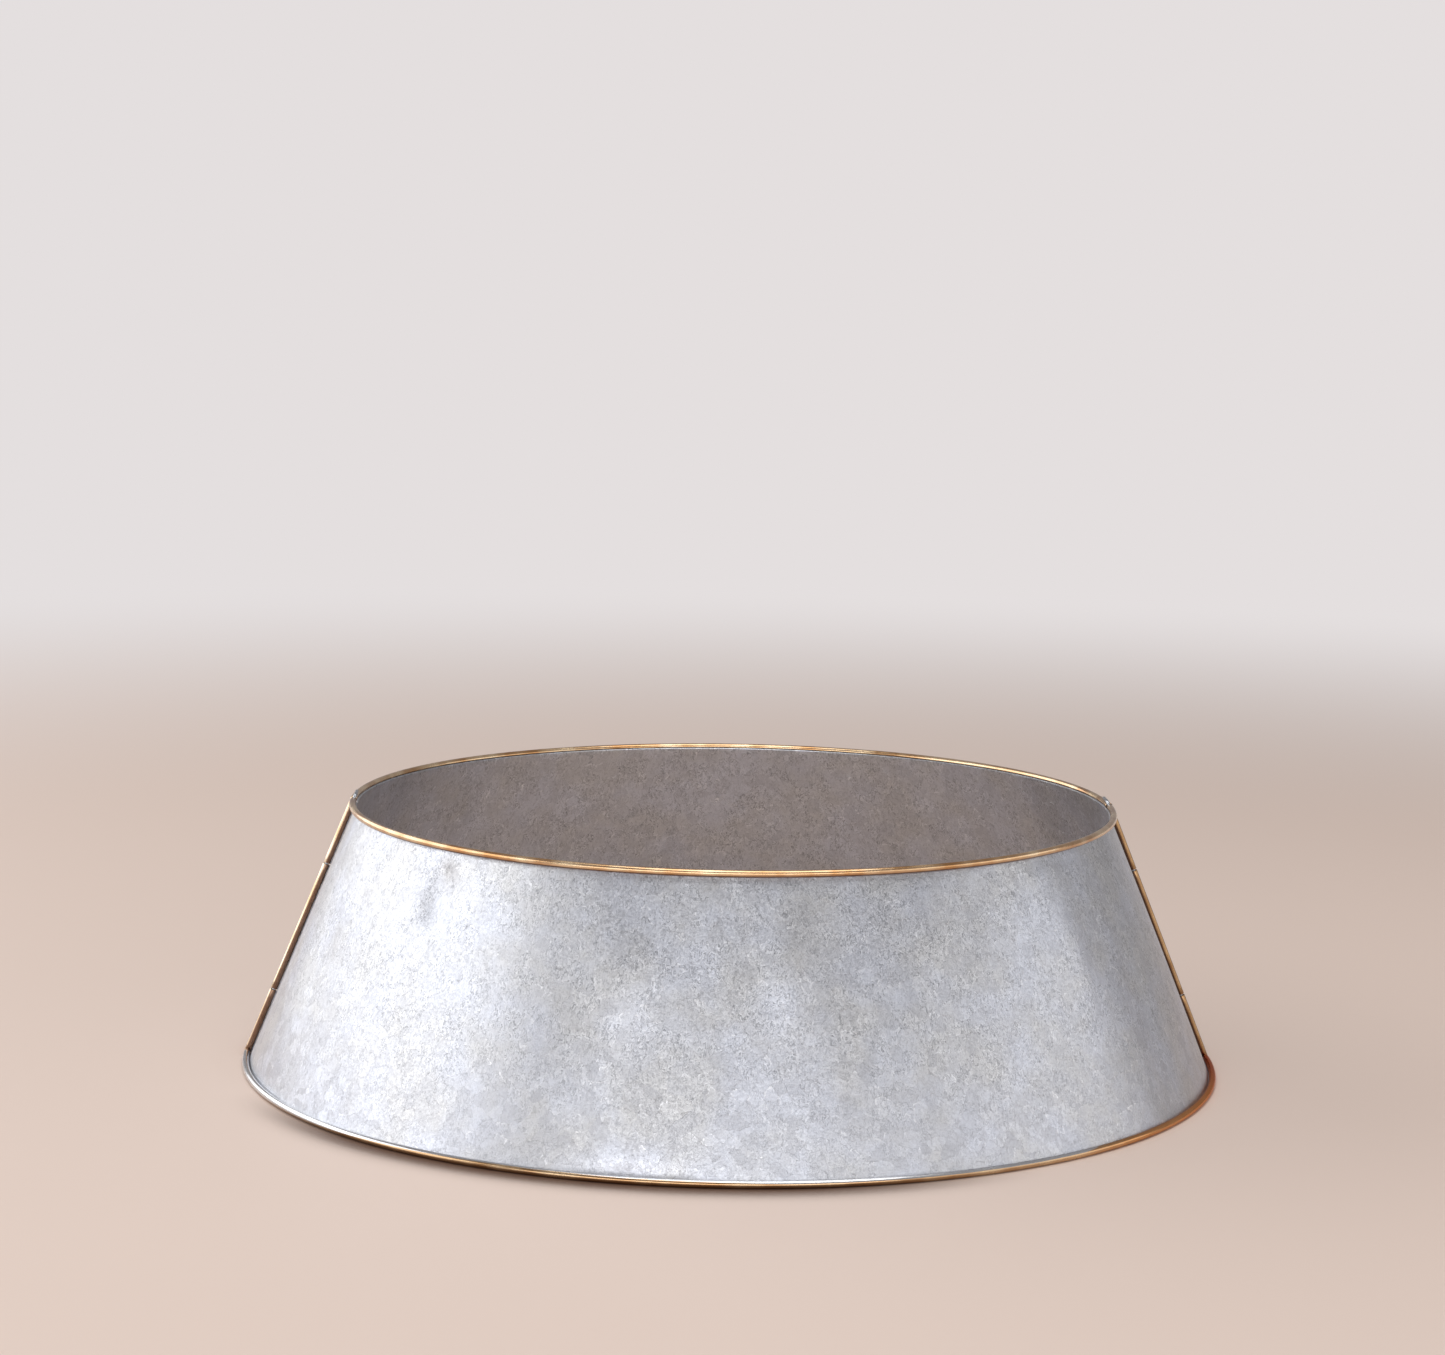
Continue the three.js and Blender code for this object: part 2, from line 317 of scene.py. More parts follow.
    # each crystal and each flake is a facet that leans its own way
    ripples = addNode(m, "ShaderNodeTexNoise", {}, {
        "Vector": place, "Scale": 1 / look["rippleSize"], "Detail": 2})
    height = addNode(m, "ShaderNodeMath", {"operation": "MULTIPLY"}, {
        0: ripples.outputs["Fac"], 1: look["ripple"]})
    relief = addNode(m, "ShaderNodeMath", {"operation": "MULTIPLY"}, {
        0: gathered.outputs[0], 1: look["strokeRelief"]})
    slopes = (
        (facets[0], look["crystalSlope"]),
        (facets[1], look["flakeSlope"]),
        (strokes.outputs["Fac"], relief.outputs[0]),
    )
    for value, slope in slopes:
        height = addNode(m, "ShaderNodeMath", {"operation": "MULTIPLY_ADD"}, {
            0: value, 1: slope, 2: height.outputs[0]})
    bump = addNode(m, "ShaderNodeBump", {}, {"Height": height.outputs[0], "Distance": 1.0})

    steel = addNode(m, "ShaderNodeBsdfPrincipled", {}, {
        "Base Color": zinc.outputs[2],
        "Metallic": 1.0,
        "Roughness": rough.outputs[0],
        "Normal": bump.outputs[0],
    })
    addNode(m, "ShaderNodeOutputMaterial", {}, {"Surface": steel.outputs[0]})
    return m


# Gold lacquer brushed over plated steel tube: coppery and uneven, with a clear glossy skin that catches
# a cream highlight. Brown painted shade lies along the rims' lower edge and in the crease beside the sheet,
# and on the seam tubes it also stands for a dark reflection. Along the foot the coat stops short of the top,
# at the front left end it is missing, so that the bare tube shows, and round the right seam a redder brown is
# painted as the floor's reflection.
lacquer = {
    "tones": {                   # the coat's darker and lighter tone, and the tone of its painted shade
        "rim": ("#C0905F", "#E6CBA6", "#5B3426"),
        "foot": ("#AC855C", "#C8AC88", "#5B3426"),
        # the left seam's paler tones are a painted highlight, the right seam's darker ones a painted shade
        "leftSeam": ("#D0B28C", "#EFE0C6", "#6E4C3A"),
        "rightSeam": ("#8E6943", "#AE8C62", "#4E3020"),
    },
    "patch": 22 * mm,            # the brushed coat changes tone over this length
    "patchRange": (0.35, 0.65),
    "grain": 1.2 * mm,
    "grainDepth": 0.006 * mm,
    "roughness": (0.16, 0.28),
    "roughnessRange": (0.3, 0.7),
    "coatWeight": 0.3,
    "coatRoughness": 0.08,
    "coatIor": 1.6,
    "paintedShadeShare": 0.92,          # how far the colour turns to the painted shade's tone
    "paintedShadeFacing": (-0.25, -0.7),    # on a rim the shade is painted where the surface faces down
    # on a seam the shade is painted up to this far out of the slope, at the two heights below
    "paintedShadeReach": {"leftSeam": (2 * mm, 0.8 * mm), "rightSeam": (0.0, 0.0)},
    "paintedShadeHeights": (20 * mm, 150 * mm),
    "paintedShadeBlur": 0.5 * mm,
    "bare": "#D2D3D5",
    "edgeBlur": 0.5 * mm,        # softness of the coat's upper edge on the foot's tube
    "edgeWander": 0.7 * mm,
    "reach": 8 * mm,             # the height that a full share counts as
    # the next three go by turns from the -X seam round the front: how high the coat comes up the foot's
    # tube, and how much of the brown painted reflection it takes, and which brown
    "coatHeight": [
        (0.0, 0.0), (0.05, 0.0), (0.07, 0.16), (0.1, 0.22), (0.125, 0.36), (0.17, 0.50), (0.24, 0.48),
        (0.26, 0.36), (0.36, 0.40), (0.385, 1.1), (0.62, 0.95), (0.68, 0.36), (0.80, 0.40), (0.85, 0.95),
        (1.0, 0.95),
    ],
    "paintedReflectionShare": [
        (0.0, 0.0), (0.34, 0.0), (0.39, 0.6), (0.45, 1.0), (0.5, 1.0), (0.56, 0.4), (0.62, 0.0), (0.9, 0.0),
        (1.0, 0.3),
    ],
    "paintedReflectionBrowns": [(0.38, "#DC9A58"), (0.445, "#E29C64"), (0.48, "#CA6240"), (0.53, "#CA6240"), (0.56, "#CC8040")],
    "brownSlant": "#D8A684",     # what the brown stretch reflects at a slant
}


def goldLacquer(name, where):
    look = lacquer
    darker, lighter, paintedShadeTone = look["tones"][where]
    m = newMaterial(name)
    coordinates = addNode(m, "ShaderNodeTexCoord")
    place = coordinates.outputs["Object"]
    axes = addNode(m, "ShaderNodeSeparateXYZ", {}, {0: place})
    patches = addNode(m, "ShaderNodeTexNoise", {}, {"Vector": place, "Scale": 1 / look["patch"], "Detail": 3})
    grain = addNode(m, "ShaderNodeTexNoise", {}, {"Vector": place, "Scale": 1 / look["grain"], "Detail": 2})
    ramp = addNode(m, "ShaderNodeValToRGB", {}, {0: patches.outputs["Fac"]})
    low, high = look["patchRange"]
    setStops(ramp, [(low, linear(darker)), (high, linear(lighter))])
    toned = ramp.outputs["Color"]
    slant = (1, 1, 1, 1)

    if where == "foot":
        # where round the collar a point is, from 0 at the -X seam through the front to 1
        angle = addNode(m, "ShaderNodeMath", {"operation": "ARCTAN2"}, {
            0: axes.outputs["Y"], 1: axes.outputs["X"]})
        turn = addNode(m, "ShaderNodeMapRange", {"clamp": False}, {
            "Value": angle.outputs[0], "From Min": -math.pi, "From Max": math.pi})
        coat = addNode(m, "ShaderNodeValToRGB", {}, {0: turn.outputs[0]})
        setStops(coat, greyStops(look["coatHeight"]))
        coatTop = addNode(m, "ShaderNodeMath", {"operation": "MULTIPLY"}, {
            0: coat.outputs["Color"], 1: look["reach"]})
        wander = addNode(m, "ShaderNodeMath", {"operation": "MULTIPLY_ADD"}, {
            0: patches.outputs["Fac"], 1: look["edgeWander"], 2: coatTop.outputs[0]})
        above = addNode(m, "ShaderNodeMath", {"operation": "SUBTRACT"}, {
            0: axes.outputs["Z"], 1: wander.outputs[0]})
        coverAndPaintedShade = addNode(m, "ShaderNodeMapRange", {"interpolation_type": "SMOOTHSTEP"}, {
            "Value": above.outputs[0], "From Max": look["edgeBlur"]})
        bareAndPaintedShadeTone = linear(look["bare"])
        # painted reflection: round the right seam the foot's tube is painted a redder brown
        paintedReflectionShare = addNode(m, "ShaderNodeValToRGB", {}, {0: turn.outputs[0]})
        setStops(paintedReflectionShare, greyStops(look["paintedReflectionShare"]))
        brown = addNode(m, "ShaderNodeValToRGB", {}, {0: turn.outputs[0]})
        setStops(brown, [(at, linear(tone)) for at, tone in look["paintedReflectionBrowns"]])
        toned = addNode(m, "ShaderNodeMix", {"data_type": "RGBA"}, {
            0: paintedReflectionShare.outputs["Color"], 6: toned, 7: brown.outputs["Color"]}).outputs[2]
        slant = addNode(m, "ShaderNodeMix", {"data_type": "RGBA"}, {
            0: paintedReflectionShare.outputs["Color"], 6: slant, 7: linear(look["brownSlant"])}).outputs[2]
    elif where in look["paintedShadeReach"]:
        # painted shade and painted dark reflection: the seam tube turns brown on its side towards the sheet
        # how far out of the slope a point is
        flat = addNode(m, "ShaderNodeVectorMath", {"operation": "MULTIPLY"}, {0: place, 1: (1, 1, 0)})
        radius = addNode(m, "ShaderNodeVectorMath", {"operation": "LENGTH"}, {0: flat.outputs[0]})
        radial = addNode(m, "ShaderNodeMath", {"operation": "MULTIPLY_ADD"}, {
            0: radius.outputs["Value"], 1: outward.x, 2: -bottomCentre.dot(outward)})
        out = addNode(m, "ShaderNodeMath", {"operation": "MULTIPLY_ADD"}, {
            0: axes.outputs["Z"], 1: outward.z, 2: radial.outputs[0]})
        low, high = look["paintedShadeHeights"]
        lowEdge, highEdge = look["paintedShadeReach"][where]
        edge = addNode(m, "ShaderNodeMapRange", {}, {
            "Value": axes.outputs["Z"], "From Min": low, "From Max": high,
            "To Min": lowEdge, "To Max": highEdge})
        beyond = addNode(m, "ShaderNodeMath", {"operation": "SUBTRACT"}, {
            0: out.outputs[0], 1: edge.outputs[0]})
        coverAndPaintedShade = addNode(m, "ShaderNodeMapRange", {"interpolation_type": "SMOOTHSTEP"}, {
            "Value": beyond.outputs[0], "From Min": look["paintedShadeBlur"], "From Max": -look["paintedShadeBlur"],
            "To Max": look["paintedShadeShare"]})
        bareAndPaintedShadeTone = linear(paintedShadeTone)
    else:
        # painted shade: brown by how far the surface faces down
        facing = addNode(m, "ShaderNodeSeparateXYZ", {}, {0: coordinates.outputs["Normal"]})
        low, high = look["paintedShadeFacing"]
        coverAndPaintedShade = addNode(m, "ShaderNodeMapRange", {"interpolation_type": "SMOOTHSTEP"}, {
            "Value": facing.outputs["Z"], "From Min": low, "From Max": high, "To Max": look["paintedShadeShare"]})
        bareAndPaintedShadeTone = linear(paintedShadeTone)

    color = addNode(m, "ShaderNodeMix", {"data_type": "RGBA"}, {0: coverAndPaintedShade.outputs[0], 6: toned, 7: bareAndPaintedShadeTone})
    low, high = look["roughnessRange"]
    smooth, dull = look["roughness"]
    rough = addNode(m, "ShaderNodeMapRange", {}, {
        "Value": patches.outputs["Fac"], "From Min": low, "From Max": high, "To Min": smooth, "To Max": dull})
    grainHeight = addNode(m, "ShaderNodeMath", {"operation": "MULTIPLY"}, {
        0: grain.outputs["Fac"], 1: look["grainDepth"]})
    bump = addNode(m, "ShaderNodeBump", {}, {"Height": grainHeight.outputs[0], "Distance": 1.0})
    coated = addNode(m, "ShaderNodeBsdfPrincipled", {}, {
        "Base Color": color.outputs[2],
        "Metallic": 1.0,
        "Specular Tint": slant,
        "Roughness": rough.outputs[0],
        "Coat Weight": look["coatWeight"],
        "Coat Roughness": look["coatRoughness"],
        "Coat IOR": look["coatIor"],
        "Normal": bump.outputs[0],
    })
    addNode(m, "ShaderNodeOutputMaterial", {}, {"Surface": coated.outputs[0]})
    return m


# Zinc-plated drawn wire: bright, faintly blue, with fine draw lines along it.
wireLook = {
    "zinc": "#C4C8CE",
    "dull": "#A8ABB0",
    "blotch": 7 * mm,
    "blotchRange": (0.35, 0.65),
    "drawLine": 0.35 * mm,
    "lineDepth": 0.006 * mm,
    "lineStretch": 0.06,         # the noise is stretched upwards by one over this
    "roughness": (0.22, 0.38),
}


def zincPlatedWire():
    look = wireLook
    m = newMaterial("zincPlatedDrawnWire")
    place = addNode(m, "ShaderNodeTexCoord").outputs["Object"]
    blotches = addNode(m, "ShaderNodeTexNoise", {}, {"Vector": place, "Scale": 1 / look["blotch"], "Detail": 3})
    stretched = addNode(m, "ShaderNodeMapping", {}, {"Vector": place, "Scale": (1, 1, look["lineStretch"])})
    lines = addNode(m, "ShaderNodeTexNoise", {}, {
        "Vector": stretched.outputs[0], "Scale": 1 / look["drawLine"], "Detail": 2})
    ramp = addNode(m, "ShaderNodeValToRGB", {}, {0: blotches.outputs["Fac"]})
    low, high = look["blotchRange"]
    setStops(ramp, [(low, linear(look["dull"])), (high, linear(look["zinc"]))])
    smooth, dull = look["roughness"]
    rough = addNode(m, "ShaderNodeMapRange", {}, {
        "Value": blotches.outputs["Fac"], "To Min": smooth, "To Max": dull})
    lineHeight = addNode(m, "ShaderNodeMath", {"operation": "MULTIPLY"}, {
        0: lines.outputs["Fac"], 1: look["lineDepth"]})
    bump = addNode(m, "ShaderNodeBump", {}, {"Height": lineHeight.outputs[0], "Distance": 1.0})
    wire = addNode(m, "ShaderNodeBsdfPrincipled", {}, {
        "Base Color": ramp.outputs["Color"],
        "Metallic": 1.0,
        "Roughness": rough.outputs[0],
        "Normal": bump.outputs[0],
    })
    addNode(m, "ShaderNodeOutputMaterial", {}, {"Surface": wire.outputs[0]})
    return m


steelFinish = galvanisedSteel()
rimGold = goldLacquer("goldLacquerOnRimTube", "rim")
footGold = goldLacquer("goldLacquerOnFootTube", "foot")
# one lacquer in a painted lit copy on the left seam and a painted shaded copy on the right
seamGold = {
    "left": goldLacquer("goldLacquerPaintedLitOnLeftSeamTube", "leftSeam"),
    "right": goldLacquer("goldLacquerPaintedShadeOnRightSeamTube", "rightSeam"),
}
wireFinish = zincPlatedWire()
print("materials made")


# the two sheets
sheet = {
    "thickness": 0.6 * mm,
    "outerFace": -2.9 * mm,      # out of the slope, from the line of tube centres
    "lipEnd": -1.6 * mm,         # the turned-out edges stop here, inside the tubes
    "foldRadius": 0.3 * mm,
    "edgeGap": 0.8 * mm,         # from the seam plane to a plain edge
    "tabLead": 0.2 * mm,         # a tab runs this far past it before it turns out
    "lipGap": 3.4 * mm,          # from the seam plane to the end of the top and bottom lips
    "rowSpacing": 4.5 * mm,
    "bow": 2.0 * mm,             # how far the sheet bows out between the rims
    "calmRim": 16 * mm,          # the waves below fade out over these distances from the edges
    "calmFoot": 5 * mm,
    "calmSeam": 30 * mm,
    "bowSeam": 90 * mm,
}

# Soft waves that rolling and handling left in the sheet. Each is a place in degrees right of the half's
# middle and as a share of the slope, its half width and half height, and how far it stands out. The
# front's first is the dent near the rim, and its last the pressed place above the foot.
frontWaves = [
    {"turn": -46.5, "share": 0.83, "width": 15 * mm, "height": 22 * mm, "stand": -5.6 * mm},
    {"turn": -64, "share": 0.90, "width": 12 * mm, "height": 60 * mm, "stand": -1.0 * mm},
    {"turn": -68, "share": 0.52, "width": 30 * mm, "height": 42 * mm, "stand": -2.6 * mm},
    {"turn": -16, "share": 0.68, "width": 24 * mm, "height": 42 * mm, "stand": 2.8 * mm},
    {"turn": 4, "share": 0.72, "width": 16 * mm, "height": 42 * mm, "stand": 2.1 * mm},
    {"turn": 23, "share": 0.74, "width": 14 * mm, "height": 50 * mm, "stand": 1.3 * mm},
    {"turn": 47, "share": 0.72, "width": 22 * mm, "height": 50 * mm, "stand": 2.4 * mm},
    {"turn": 60, "share": 0.45, "width": 18 * mm, "height": 80 * mm, "stand": -1.4 * mm},
    {"turn": -13, "share": 0.00, "width": 32 * mm, "height": 8 * mm, "stand": -2.2 * mm},
]
backWaves = [
    {"turn": -58, "share": 0.70, "width": 24 * mm, "height": 55 * mm, "stand": 1.5 * mm},
    {"turn": -32, "share": 0.80, "width": 26 * mm, "height": 70 * mm, "stand": -1.2 * mm},
    {"turn": -8, "share": 0.72, "width": 22 * mm, "height": 50 * mm, "stand": 1.6 * mm},
    {"turn": 20, "share": 0.65, "width": 20 * mm, "height": 60 * mm, "stand": -1.1 * mm},
    {"turn": 41, "share": 0.75, "width": 18 * mm, "height": 45 * mm, "stand": 1.3 * mm},
    {"turn": 66, "share": 0.85, "width": 24 * mm, "height": 80 * mm, "stand": -1.2 * mm},
]


def smoothStep(value):
    t = min(max(value, 0), 1)
    return t * t * (3 - 2 * t)


def waveStand(waves, turn, radius, up):
    total = 0
    for wave in waves:
        aside = math.radians(turn - wave["turn"]) * radius / wave["width"]
        away = (up - wave["share"] * slopeLength) / wave["height"]
        total += wave["stand"] * math.exp(-aside * aside - away * away)
    return total


def halfSheet(waves):
    bm = bmesh.new()
    half = sheet["thickness"] / 2
    fold = sheet["foldRadius"]
    cut = 0.3 * fold             # the middle of a fold's quarter turn lies this far in from its corner
    face = sheet["outerFace"]

    # the outer face of the section: lip, fold, slope, fold, lip
    stations = [half + fold, *sheetBreaks, slopeLength - half - fold]
    lowFold = [(sheet["lipEnd"], half), (face + fold, half), (face + cut, half + cut)]
    highFold = [(out, slopeLength - up) for out, up in reversed(lowFold)]
    section = lowFold + [(face, up) for up in stations] + highFold
    line = [bm.verts.new(onSlope(out, up)) for out, up in section]
    for pair in zip(line, line[1:]):
        bm.edges.new(pair)
    while long := [e for e in bm.edges if e.calc_length() > sheet["rowSpacing"]]:
        bmesh.ops.subdivide_edges(bm, edges=long, cuts=1)
    bmesh.ops.spin(bm, geom=bm.verts[:] + bm.edges[:], cent=(0, 0, 0), axis=(0, 0, 1), dvec=(0, 0, 0),
                   angle=-math.pi, steps=collar["steps"], use_merge=False)

    # straight seam edges, and lips that end short of them
    for distance, clear in ((sheet["edgeGap"], True), (sheet["lipGap"], False)):
        bmesh.ops.bisect_plane(bm, geom=bm.verts[:] + bm.edges[:] + bm.faces[:], dist=weld,
                               plane_co=(0, -distance, 0), plane_no=(0, 1, 0), clear_outer=clear)
    ends = [f for f in bm.faces if f.calc_center_median().y > -sheet["lipGap"]
            and slopePlace(f.calc_center_median())[0] > face + hair]
    bmesh.ops.delete(bm, geom=ends, context="FACES")
    bmesh.ops.remove_doubles(bm, verts=bm.verts[:], dist=weld)

    # tabs that turn out into the half's own knuckles: top and bottom on the right, middle on the left
    for side, spans in ((1, [(0, lowerBreak), (upperBreak, slopeLength)]), (-1, [(lowerBreak, upperBreak)])):
        edges = [e for e in bm.edges if e.is_boundary
                 and all(v.co.x * side > 0 and abs(v.co.y + sheet["edgeGap"]) < hair for v in e.verts)
                 and any(low < slopePlace((e.verts[0].co + e.verts[1].co) / 2)[1] < high for low, high in spans)
                 and e.calc_length() > 1.5 * collar["knuckleGap"]]
        turnOut = Vector((outward.x * side, 0, outward.z))
        reach = sheet["lipEnd"] - face - fold
        for toSeam, out in ((sheet["tabLead"], 0), (fold - cut, cut), (cut, fold - cut), (0, reach)):
            result = bmesh.ops.extrude_edge_only(bm, edges=edges)
            moved = newVerts(result)
            bmesh.ops.translate(bm, verts=moved, vec=Vector((0, toSeam, 0)) + turnOut * out)
            edges = [e for e in newEdges(result) if all(v in moved for v in e.verts)]

    # the soft waves
    for vert in bm.verts:
        out, up = slopePlace(vert.co)
        if out > face + hair:
            continue
        radius = math.hypot(vert.co.x, vert.co.y)
        turn = math.degrees(math.atan2(vert.co.x, -vert.co.y))
        calm = (smoothStep(up / sheet["calmFoot"]) * smoothStep((slopeLength - up) / sheet["calmRim"])
                * smoothStep(-vert.co.y / sheet["calmSeam"]))
        facing = Vector((vert.co.x / radius * outward.x, vert.co.y / radius * outward.x, outward.z))
        arch = 4 * up * (slopeLength - up) / slopeLength ** 2
        bow = sheet["bow"] * arch * smoothStep(-vert.co.y / sheet["bowSeam"])
        vert.co += facing * (waveStand(waves, turn, radius, up) * calm + bow)

    # faces point outwards, and the wall's thickness is added inwards
    bmesh.ops.recalc_face_normals(bm, faces=bm.faces[:])
    frontMiddle = Vector((0, -bottomCentre.x, collar["height"] / 2))
    nearest = min(bm.faces, key=lambda f: (f.calc_center_median() - frontMiddle).length)
    if nearest.normal.y > 0:
        bmesh.ops.reverse_faces(bm, faces=bm.faces[:])
    bmesh.ops.solidify(bm, geom=bm.faces[:], thickness=sheet["thickness"])
    return bm


addPiece(halfSheet(frontWaves), "front_sheet", "front", "front_panel", steelFinish)
backSheet = halfSheet(backWaves)
turnedHalf(backSheet)
addPiece(backSheet, "back_sheet", "back", "back_panel", steelFinish)
print("sheets made")


# the slit tubes: four rim tubes and six knuckles
tube = {
    "sides": 40,
    "slit": 0.6 * mm,        # half its width
    "endGap": 3.4 * mm,      # from the seam plane to a rim tube's end
    "floorGap": 0.4 * mm,    # under the lower knuckles
    "endRound": 0.15 * mm,
    "step": 6 * mm,
    "waver": 0.12 * mm,      # hand pressed, so the line isn't perfect
    "waverLength": 70 * mm,
    "seeds": {               # any numbers, a different waver for each rim tube
        ("front", "top"): 16.1, ("front", "bottom"): 27.2, ("back", "top"): 15.1, ("back", "bottom"): 26.2,
    },
}


def slitRing(centre, across, slitFacing):
    # the tube's section as a band of faces, open where it faces slitFacing
    bm = bmesh.new()
    turn = Matrix((across, slitFacing, across.cross(slitFacing))).transposed().to_4x4()
    bmesh.ops.create_circle(bm, cap_ends=False, segments=tube["sides"], radius=collar["tubeRadius"],
                            matrix=Matrix.Translation(centre) @ turn)
    limit = math.cos(math.asin(tube["slit"] / (collar["tubeRadius"] - collar["tubeWall"] / 2)))
    slit = [v for v in bm.verts if (v.co - centre).normalized().dot(slitFacing) > limit]
    bmesh.ops.delete(bm, geom=slit, context="VERTS")
    result = bmesh.ops.extrude_edge_only(bm, edges=bm.edges[:])
    inner = 1 - collar["tubeWall"] / collar["tubeRadius"]
    bmesh.ops.scale(bm, vec=(inner,) * 3, space=Matrix.Translation(-centre), verts=newVerts(result))
    return bm


def softenEnds(bm):
    bmesh.ops.remove_doubles(bm, verts=bm.verts[:], dist=weld)
    bmesh.ops.recalc_face_normals(bm, faces=bm.faces[:])
    sharp = [e for e in bm.edges if e.is_manifold and e.calc_face_angle() > squareEdge]
    bmesh.ops.bevel(bm, geom=sharp, offset=tube["endRound"], affect="EDGES", segments=2, profile=0.5,
                    material=-1, clamp_overlap=True)


def rimTube(centre, seed):
    bm = slitRing(centre, along, -outward)
    start = math.asin(tube["endGap"] / centre.x)
    bmesh.ops.rotate(bm, verts=bm.verts[:], cent=(0, 0, 0), matrix=Matrix.Rotation(-start, 3, "Z"))
    bmesh.ops.spin(bm, geom=bm.verts[:] + bm.edges[:] + bm.faces[:], cent=(0, 0, 0), axis=(0, 0, 1),
                   dvec=(0, 0, 0), angle=-(math.pi - 2 * start), steps=collar["steps"], use_merge=False)
    softenEnds(bm)
    for vert in bm.verts:
        away = Vector((vert.co.x, vert.co.y, 0)).normalized()
        wave = noise.noise(away * centre.x / tube["waverLength"] + Vector((0, 0, seed)))
        vert.co += away * min(wave, 0) * tube["waver"]
    return bm


def knuckleTube(low, high):
    bm = slitRing(onSlope(0, low), Vector((0, 1, 0)), -outward)
    steps = max(round((high - low) / tube["step"]), 1)
    bmesh.ops.spin(bm, geom=bm.verts[:] + bm.edges[:] + bm.faces[:], cent=(0, 0, 0), axis=(0, 0, 1),
                   dvec=along * ((high - low) / steps), angle=0, steps=steps, use_merge=False)
    softenEnds(bm)
    return bm


knuckleBottom = (tube["floorGap"] + collar["tubeRadius"] * outward.z - bottomCentre.z) / along.z
knuckleTop = (collar["height"] - collar["tubeRadius"] * outward.z - bottomCentre.z) / along.z
spans = {
    "lower": (knuckleBottom, lowerBreak - gap),
    "middle": (lowerBreak + gap, upperBreak - gap),
    "upper": (upperBreak + gap, knuckleTop),
}

for half, splitSide, wholeSide in (("front", "right", "left"), ("back", "left", "right")):
    for rim, centre in (("top", topCentre), ("bottom", bottomCentre)):
        bm = rimTube(centre, tube["seeds"][half, rim])
        if half == "back":
            turnedHalf(bm)
        finish = rimGold if rim == "top" else footGold
        addPiece(bm, f"{half}_{rim}_tube", half, f"{half}_{rim}_trim", finish)
    for side, place in ((splitSide, "lower"), (splitSide, "upper"), (wholeSide, "middle")):
        bm = knuckleTube(*spans[place])
        if side == "left":
            turnedHalf(bm)
        node = f"{half}_{side}_{place}_knuckle"
        addPiece(bm, f"{node}_tube", half, node, seamGold[side])
print("tubes made")


# the two seam rods
rod = {
    "radius": 1.2 * mm,
    "sides": 24,
    "bendRadius": 3 * mm,
    "arm": 14 * mm,
    "clearance": 0.3 * mm,     # from the rim tubes to the arm
    "tipRound": 0.35 * mm,
    "straightSteps": 24,
    "bendSteps": 12,
    "armSteps": 4,
}


def seamRod():
    bm = bmesh.new()
    foot = onSlope(0, knuckleBottom)
    turn = Matrix((Vector((0, 1, 0)), outward, Vector((0, 1, 0)).cross(outward))).transposed().to_4x4()
    bmesh.ops.create_circle(bm, cap_ends=True, segments=rod["sides"], radius=rod["radius"],
                            matrix=Matrix.Translation(foot) @ turn)
    armHeight = slopeLength + collar["tubeRadius"] + rod["clearance"] + rod["radius"]
    straight = armHeight - rod["bendRadius"] - knuckleBottom
    bendCentre = foot + along * straight + Vector((0, rod["bendRadius"], 0))
    upward = along * straight / rod["straightSteps"]
    backward = Vector((0, rod["arm"] / rod["armSteps"], 0))
    straightOn = {"cent": (0, 0, 0), "axis": (0, 0, 1), "angle": 0}
    moves = [
        {**straightOn, "dvec": upward, "steps": rod["straightSteps"]},
        {"cent": bendCentre, "axis": outward, "dvec": (0, 0, 0), "angle": -math.pi / 2,
         "steps": rod["bendSteps"]},
        {**straightOn, "dvec": backward, "steps": rod["armSteps"]},
    ]
    tip = bm.verts[:] + bm.edges[:] + bm.faces[:]
    for move in moves:
        result = bmesh.ops.spin(bm, geom=tip, use_merge=False, **move)
        tip = result["geom_last"]
    bmesh.ops.remove_doubles(bm, verts=bm.verts[:], dist=weld)
    bmesh.ops.recalc_face_normals(bm, faces=bm.faces[:])
    ends = [e for e in bm.edges if e.is_manifold and e.calc_face_angle() > squareEdge]
    bmesh.ops.bevel(bm, geom=ends, offset=rod["tipRound"], affect="EDGES", segments=3, profile=0.5, material=-1)
    return bm


addPiece(seamRod(), "right_seam_rod", "right_rod", "right_rod", wireFinish)
leftRod = seamRod()
bmesh.ops.mirror(leftRod, geom=leftRod.verts[:] + leftRod.edges[:] + leftRod.faces[:], axis="X", merge_dist=0)
rightCopy = [v for v in leftRod.verts if v.co.x > 0]
bmesh.ops.delete(leftRod, geom=rightCopy, context="VERTS")
bmesh.ops.recalc_face_normals(leftRod, faces=leftRod.faces[:])
addPiece(leftRod, "left_seam_rod", "left_rod", "left_rod", wireFinish)
print("rods made")


# floor and backdrop
stage = {
    "floor": "#DCC9BD",
    "floorRoughness": 0.6,
    "backdrop": "#E4DFDF",
    "nearEdge": 1.1,             # the floor's own colour fades to the backdrop's from here, in metres
    "farEdge": 3.2,
    "radius": 30,
    "sides": 96,
    "worldStrength": 0.43,
    "paintedShadowTone": "#5E4638",    # painted shadow: the floor's colour is darkened to this where it touches the collar's front
    "contact": 40 * mm,          # what stands this near shades it
    "contactSamples": 16,
    # how much of that painted shadow shows, by how open the floor is
    "paintedShadowShares": [(0.866, 1.0), (0.876, 0.72), (0.882, 0.44), (0.91, 0.33), (0.95, 0.17), (0.985, 0.0)],
    "paintedShadowAhead": (-0.34, -0.94, 0),
    "paintedShadowSpread": (0.6, 0.92),
}


